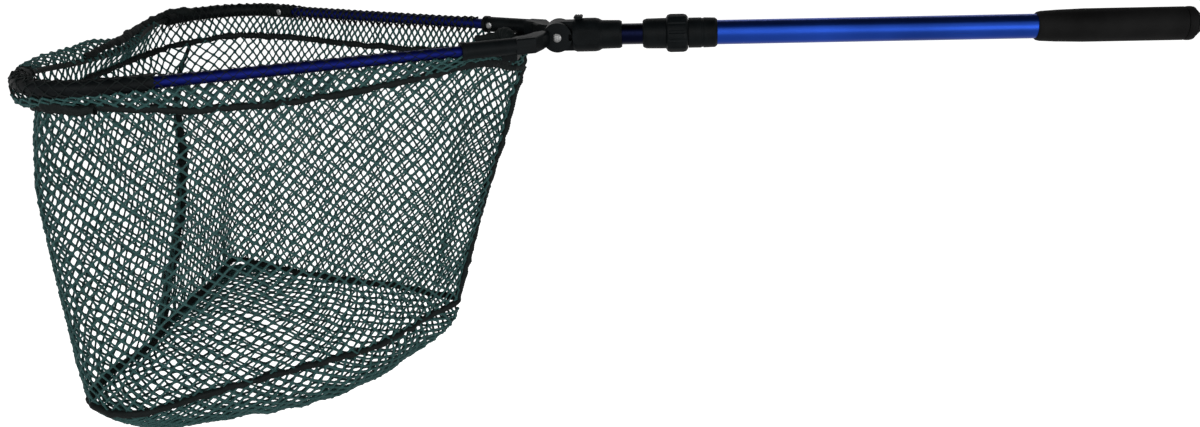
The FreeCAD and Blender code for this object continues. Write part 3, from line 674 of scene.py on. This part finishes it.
def bottom_netting():
    flat, strands = diamonds(BOTTOM_SPAN, BOTTOM_SPAN)
    flat = flat - BOTTOM_SPAN / 2
    turn, lean = math.cos(BOTTOM_TURN), math.sin(BOTTOM_TURN)
    flat = flat @ np.array(((turn, lean), (-lean, turn)))
    place, share = bottom_sheet(flat)
    ours = (share[strands] < 1).any(axis=1)
    item = twine("bottom_netting", place, strands[ours], BOTTOM_STRAND)
    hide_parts("bottom_net")
    return item


bag_pieces.append(bottom_netting())

# ---------------------------------------------------------------- sleeve round the hoop

# The arms' splay, the ends of the yoke's sockets from the hinge pin, how far along an arm its corner piece
# begins to turn, and the radius and the angles of that turn. Lengths are in millimetres.
ARM = math.radians(24.9)
SOCKET_X = -77.6
SOCKET_Y = 70.05
CORNER_START = 275.7
CORNER_RADIUS = 67
CORNER_TURNS = np.radians((20, 45, 70, 95, 105))
# Places along an arm from its socket, and along the front cord's netting from the near side.
ARM_MARKS = (5, 40, 90, 140, 190, 240, 275)
FRONT_LINE = [(-429, -104, -2.5), (-419, -58, -6), (-414, -4, -8), (-418, 52, -7), (-428, 102, -3)]


def arm_place(side, along, inward=0.0):
    """A point beside an arm: along it from the yoke's socket, and inward from it, in millimetres."""
    out = np.array((-math.cos(ARM), side * math.sin(ARM), 0))
    into = np.array((-math.sin(ARM), -side * math.cos(ARM), 0))
    return HINGE + (np.array((SOCKET_X, side * SOCKET_Y, 0)) + along * out + inward * into) * MM


def corner_place(side, turned):
    """A point on the corner piece's centre line, where it has turned by an angle."""
    along = CORNER_START + CORNER_RADIUS * math.sin(turned)
    return arm_place(side, along, CORNER_RADIUS * (1 - math.cos(turned)))


def half_hoop(side):
    """From under the yoke's web along one arm and round its corner piece."""
    leg = [at(-33, side * 8, -12), at(-46, side * 30, -11), at(-60, side * 48, -7)]
    arm = [arm_place(side, along) for along in ARM_MARKS]
    return leg + arm + [corner_place(side, turned) for turned in CORNER_TURNS]


front_places = [at(*place) for place in FRONT_LINE]
hoop_line = path(half_hoop(-1) + front_places + half_hoop(1)[::-1], 2 * MM)
hoop_travel = way_along(hoop_line)
hoop_round = hoop_travel[-1]

# Under each of the hoop's points hangs the hem's point that is nearest to it, evened out along the way.
hem_marks = np.linspace(4 * MM, bag_round - 4 * MM, 400)
hem_line = bag_wall(hem_marks, np.zeros_like(hem_marks))
gaps = np.linalg.norm(hoop_line[:, None, :2] - hem_line[None, :, :2], axis=2)
nearest = np.maximum.accumulate(hem_marks[gaps.argmin(axis=1)])
spread = 12
padded = np.concatenate((np.full(spread, nearest[0]), nearest, np.full(spread, nearest[-1])))
hem_under = np.convolve(padded, np.ones(2 * spread + 1) / (2 * spread + 1), mode="valid")


def along_rows(rows, share):
    """Points on smooth curves, one through each line of rows, at a share of its length."""
    steps = np.linalg.norm(np.diff(rows, axis=1), axis=2)
    knots = np.concatenate((np.zeros((len(rows), 1)), np.cumsum(steps, axis=1)), axis=1)
    knots = knots / knots[:, -1:]
    slopes = np.empty_like(rows)
    slopes[:, 1:-1] = (rows[:, 2:] - rows[:, :-2]) / (knots[:, 2:] - knots[:, :-2])[..., None]
    slopes[:, 0] = (rows[:, 1] - rows[:, 0]) / knots[:, 1:2]
    slopes[:, -1] = (rows[:, -1] - rows[:, -2]) / (1 - knots[:, -2:-1])
    row = np.clip((knots <= share[:, None]).sum(axis=1) - 1, 0, rows.shape[1] - 2)
    after = row + 1
    each = np.arange(len(rows))
    width = (knots[each, after] - knots[each, row])[:, None]
    t = (share - knots[each, row])[:, None] / width
    return cubic(t, width, rows[each, row], rows[each, after], slopes[each, row], slopes[each, after])


# The sleeve's width from the hem over the tube and back, in metres, how far to each side of its middle it
# lies tight on the tube, and where its inner layer begins, as shares of that width.
SLEEVE_WIDTH = 0.074
TUBE_SHARE = 0.23
INNER_FROM = 0.62
# Where the front begins and ends, and how far from its middle the corner pieces, the arms and the yoke's
# legs begin, as shares of the hoop's way round.
FRONT_FROM = 0.37
FRONT_TO = 0.63
CORNER_FROM = 0.095
ARM_FROM = 0.245
LEG_FROM = 0.43
# The sleeve's own radius round the cord, the corner pieces and the arms, in millimetres, by how far from
# the front's middle it is.
SLEEVE_SPANS = (0, 0.09, 0.12, 0.24, 0.25)
SLEEVE_RADII = (3.4, 3.6, 7.1, 7.1, 5.6)
CORNER_WRAP = 0.5 * MM
# Its cross-section from the hem up the outside and down the inside. On an arm: how far the place is
# from the hem towards the tube, then out and up in tube radii. At the front the netting stands up as
# a loose crest outside the cord: the same, then out and up in millimetres.
ARM_SECTION = [
    (0, 0.14, 0), (0.4, 0.55, 0), (1, 0.95, -0.35), (1, 0.72, 0.72), (1, 0, 1.02),
    (1, -0.72, 0.72), (1, -0.95, -0.35), (0.4, -0.5, 0), (0, -0.14, 0),
]
FRONT_SECTION = [
    (0, 0.8, 0), (0.4, 11, 0), (1, 22, 0), (1, 16, 8), (1, 5, 6.5),
    (1, -2.4, 2.4), (1, -3.2, -1.2), (0.5, -1.5, 0), (0, -0.8, 0),
]


def sleeve_sheet(travel, across):
    """The netting sleeve: up outside the hoop from the hem, over the tube and back down inside it.

    Its front stands up as a loose crest, higher towards the far side. Its lower edge flutters, and it has
    a frill at the near corner piece.
    """
    share = travel / hoop_round
    reach = 3 * MM
    core = follow(hoop_line, hoop_travel, travel)
    ahead = follow(hoop_line, hoop_travel, travel + reach)
    behind = follow(hoop_line, hoop_travel, travel - reach)
    outward = unit(np.cross((0, 0, 1.0), ahead - behind))
    hem = bag_wall(np.interp(travel, hoop_travel, hem_under), np.zeros_like(travel))
    aside = np.abs(share - 0.5)
    beside = core[:, 1] - HINGE[1]
    near_fade = (beside + 0.14) / 0.06
    far_fade = (0.055 - beside) / 0.065
    front = np.clip(np.minimum(near_fade, far_fade), 0, 1) * (aside < 0.16)
    front = front[:, None]
    lift = 1 + 0.7 * np.clip((beside + 0.1) / 0.08, 0, 1)
    corner = np.exp(-(((share - 0.365) / 0.035) ** 2))
    radius = np.interp(aside, SLEEVE_SPANS, SLEEVE_RADII)
    flutter = np.sin(travel / 0.0061) * 0.9 + np.sin(travel / 0.0173 + 2) * 1.2
    rows = []
    for (up, out, rise), (front_up, front_out, front_rise) in zip(ARM_SECTION, FRONT_SECTION):
        frill = (out > 0.5) * (up < 1) * corner
        slack = (1 - up) * up * 4 * flutter + 6 * frill
        on_arm = hem + (core - hem) * up + outward * ((out * radius + slack) * MM)[:, None]
        on_arm[:, 2] += (rise * radius - 3 * frill) * MM
        on_front = hem + (core - hem) * front_up + outward * ((front_out + 0.7 * slack) * MM)[:, None]
        on_front[:, 2] += front_rise * lift * MM
        rows.append(on_arm * (1 - front) + on_front * front)
    return along_rows(np.stack(rows, axis=1), across)


def sleeve_netting(side, low, high, gathered, strand, wrap):
    """One side's sleeve: open netting below the tube, and the part that lies tight on the tube.

    The yoke's legs have no netting on top. At the front and on the far side the inner layer is left out.
    """
    flat, strands = diamonds(hoop_round * gathered, SLEEVE_WIDTH)
    flat[:, 0] /= gathered
    across = flat[:, 1] / SLEEVE_WIDTH
    place = sleeve_sheet(flat[:, 0], across)
    middle = flat[strands, 0].mean(axis=1) / hoop_round
    middle_across = across[strands].mean(axis=1)
    ours = (middle >= low) & (middle < high)
    aside = np.abs(middle - 0.5)
    upper = np.abs(middle_across - 0.5) < TUBE_SHARE
    on_corner = ours & upper & (aside > CORNER_FROM) & (aside < ARM_FROM)
    on_arm = ours & upper & (aside >= ARM_FROM) & (aside < LEG_FROM)
    on_leg = upper & (aside >= LEG_FROM)
    inner = (middle > FRONT_FROM) & (middle_across > INNER_FROM)
    open_part = ours & ~(on_corner | on_arm | on_leg | inner)
    item = twine(side + "_sleeve_netting", place, strands[open_part], strand)
    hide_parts(side + "_sleeve")
    bag_pieces.append(item)
    if on_corner.any():
        tight = strands[on_corner]
        bag_pieces.append(twine(side + "_corner_wrap", place, tight, CORNER_WRAP, "binding"))
    if on_arm.any():
        tight = strands[on_arm]
        bag_pieces.append(twine(side + "_arm_wrap", place, tight, wrap, "binding", knotted=0.0))


sleeve_netting("near", 0, FRONT_FROM, gathered=1.15, strand=STRAND, wrap=0.28 * MM)
sleeve_netting("front", FRONT_FROM, FRONT_TO, gathered=1.3, strand=0.9 * MM, wrap=0.28 * MM)
sleeve_netting("far", FRONT_TO, 1, gathered=1.7, strand=1.1 * MM, wrap=0.8 * MM)

# ---------------------------------------------------------------- bunched netting

# Netting bunched up under the yoke, under the near corner and along the far end of the front cord:
# places in millimetres from the hinge pin, each with the bunch's radius there.
YOKE_BUNCH = [
    (-104, -76, -13, 3), (-84, -64, -13, 4.5), (-60, -44, -14, 5.5), (-42, -18, -18, 6.3),
    (-36, 0, -20, 6.5), (-41, 15, -19, 5.5), (-50, 30, -5, 6.3), (-68, 50, -9, 4), (-86, 62, -13, 3),
]
CORNER_BUNCH = [
    (-399, -160, -20, 3), (-393, -168, -15, 6.5), (-385, -175, -13, 8), (-374, -181, -14, 7),
    (-360, -185, -17, 4.5), (-341, -187, -18, 3),
]
FRONT_BUNCH = [
    (-416, -50, -3, 2.4), (-413, -20, 0, 3), (-415, 20, 1, 3.6), (-421, 60, 2, 3.8), (-430, 98, 0, 3.8),
    (-428, 124, 3, 3.8), (-421, 143, 5, 4), (-408, 164, 3, 4.5),
]


def bunch(name, marks):
    line = path([(*at(x, y, z), radius * MM) for x, y, z, radius in marks], CORD_STEP)
    bag_pieces.append(sewn_cord(name, line[:, :3], line[:, 3], pitch=9 * MM, sides=18))


bunch("yoke_bunch", YOKE_BUNCH)
bunch("corner_bunch", CORNER_BUNCH)
bunch("front_bunch", FRONT_BUNCH)

# ---------------------------------------------------------------- bindings and seams


def seam_path(travel):
    """A line down the bag's wall, whose way round is worked out from the depth."""
    depths = np.linspace(0, 1, 14)
    return path(bag_wall(travel(depths), depths), CORD_STEP)


BINDING_RADIUS = 3.1 * MM
hem_points = path(bag_rows[:, 0], CORD_STEP, closed=True)
hem_cord = sewn_cord("hem_cord", hem_points, BINDING_RADIUS, closed=True)
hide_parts("hem_binding")

bottom_points = path(bag_rows[:, -1], CORD_STEP, closed=True)
bottom_knot = bag_rows[KNOT_STATION, -1]
bottom_cord = sewn_cord("bottom_cord", bottom_points, BINDING_RADIUS, closed=True, knot=bottom_knot)
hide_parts("bottom_binding")

yoke_cord = sewn_cord("yoke_seam_cord", seam_path(yoke_seam_near), 2.9 * MM)
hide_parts("yoke_seam")

# The front seam starts thin at the hem.
front_line = seam_path(seam_travel)
front_radius = np.interp(np.linspace(0, 1, len(front_line)), (0, 0.12, 0.3), (1.2, 1.4, 2.7)) * MM
front_cord_seam = sewn_cord("front_seam_cord", front_line, front_radius, flat=0.55)
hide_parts("front_seam")

bag_pieces += [hem_cord, bottom_cord, yoke_cord, front_cord_seam]

# ---------------------------------------------------------------- own meshes for the netting pieces and the latch's spring

for item in bag_pieces:
    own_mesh(item)

spring = frame["nodes"]["latch_spring"]
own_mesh(spring)

# ---------------------------------------------------------------- stage and light


def make_stage():
    """A plain white floor, too far below the net for a shadow in view. It bounces no light."""
    half = 30
    points = [(-half, -half, 0), (half, -half, 0), (half, half, 0), (-half, half, 0)]
    mesh = bpy.data.meshes.new("floor")
    mesh.from_pydata(points, [], [(0, 1, 2, 3)])
    floor = bpy.data.objects.new("floor", mesh)
    floor.location.z = -1
    material, shader = new_material("floor_white")
    shader.inputs["Base Color"].default_value = (0.9, 0.9, 0.9, 1)
    shader.inputs["Roughness"].default_value = 1
    shader.inputs["Specular IOR Level"].default_value = 0
    shader.inputs["Emission Color"].default_value = (1, 1, 1, 1)
    shader.inputs["Emission Strength"].default_value = 0.9
    mesh.materials.append(material)
    bpy.context.scene.collection.objects.link(floor)
    floor.visible_glossy = False
    floor.visible_diffuse = False


def add_softbox(name, place, target, size, radiance):
    """A rectangular light that faces a target. Its radiance doesn't depend on its size."""
    data = bpy.data.lights.new(name, "AREA")
    data.shape = "RECTANGLE"
    data.size, data.size_y = size
    data.energy = radiance * math.pi * size[0] * size[1]
    light = bpy.data.objects.new(name, data)
    light.location = place
    light.rotation_euler = (Vector(target) - Vector(place)).to_track_quat("-Z", "Y").to_euler()
    bpy.context.scene.collection.objects.link(light)


def make_world():
    """White behind the floor's far edge. It lights the object from all round, and little from above."""
    world = bpy.data.worlds.new("studio")
    world.use_nodes = True
    nodes = world.node_tree.nodes
    links = world.node_tree.links
    path_kind = nodes.new("ShaderNodeLightPath")
    direction = nodes.new("ShaderNodeTexCoord")
    split = nodes.new("ShaderNodeSeparateXYZ")
    links.new(direction.outputs["Generated"], split.inputs["Vector"])
    slope = nodes.new("ShaderNodeMapRange")
    for socket, value in {"From Min": 0.1, "From Max": 0.7, "To Min": 0.8, "To Max": 0.06}.items():
        slope.inputs[socket].default_value = value
    links.new(split.outputs["Z"], slope.inputs["Value"])
    level = nodes.new("ShaderNodeMapRange")
    links.new(slope.outputs["Result"], level.inputs["To Min"])
    links.new(path_kind.outputs["Is Camera Ray"], level.inputs["Value"])
    background = nodes["Background"]
    background.inputs["Color"].default_value = (1, 1, 1, 1)
    links.new(level.outputs["Result"], background.inputs["Strength"])
    bpy.context.scene.world = world


make_stage()
make_world()
add_softbox("handle_key", (1.75, -2.2, 0.0), (0.3, 0, 0), (2.6, 1.6), 2.5)
add_softbox("net_key", (-1.5, -2.2, 0.9), (-0.7, 0, -0.1), (2.2, 1.3), 2.6)
add_softbox("front_fill", (-0.2, -3.2, 1.2), (-0.2, 0, 0), (6, 4), 0.8)
add_softbox("back_rim", (-0.6, 2.2, 1.6), (-0.5, 0, 0), (3, 0.6), 1.5)
bpy.context.scene.view_settings.view_transform = "Standard"
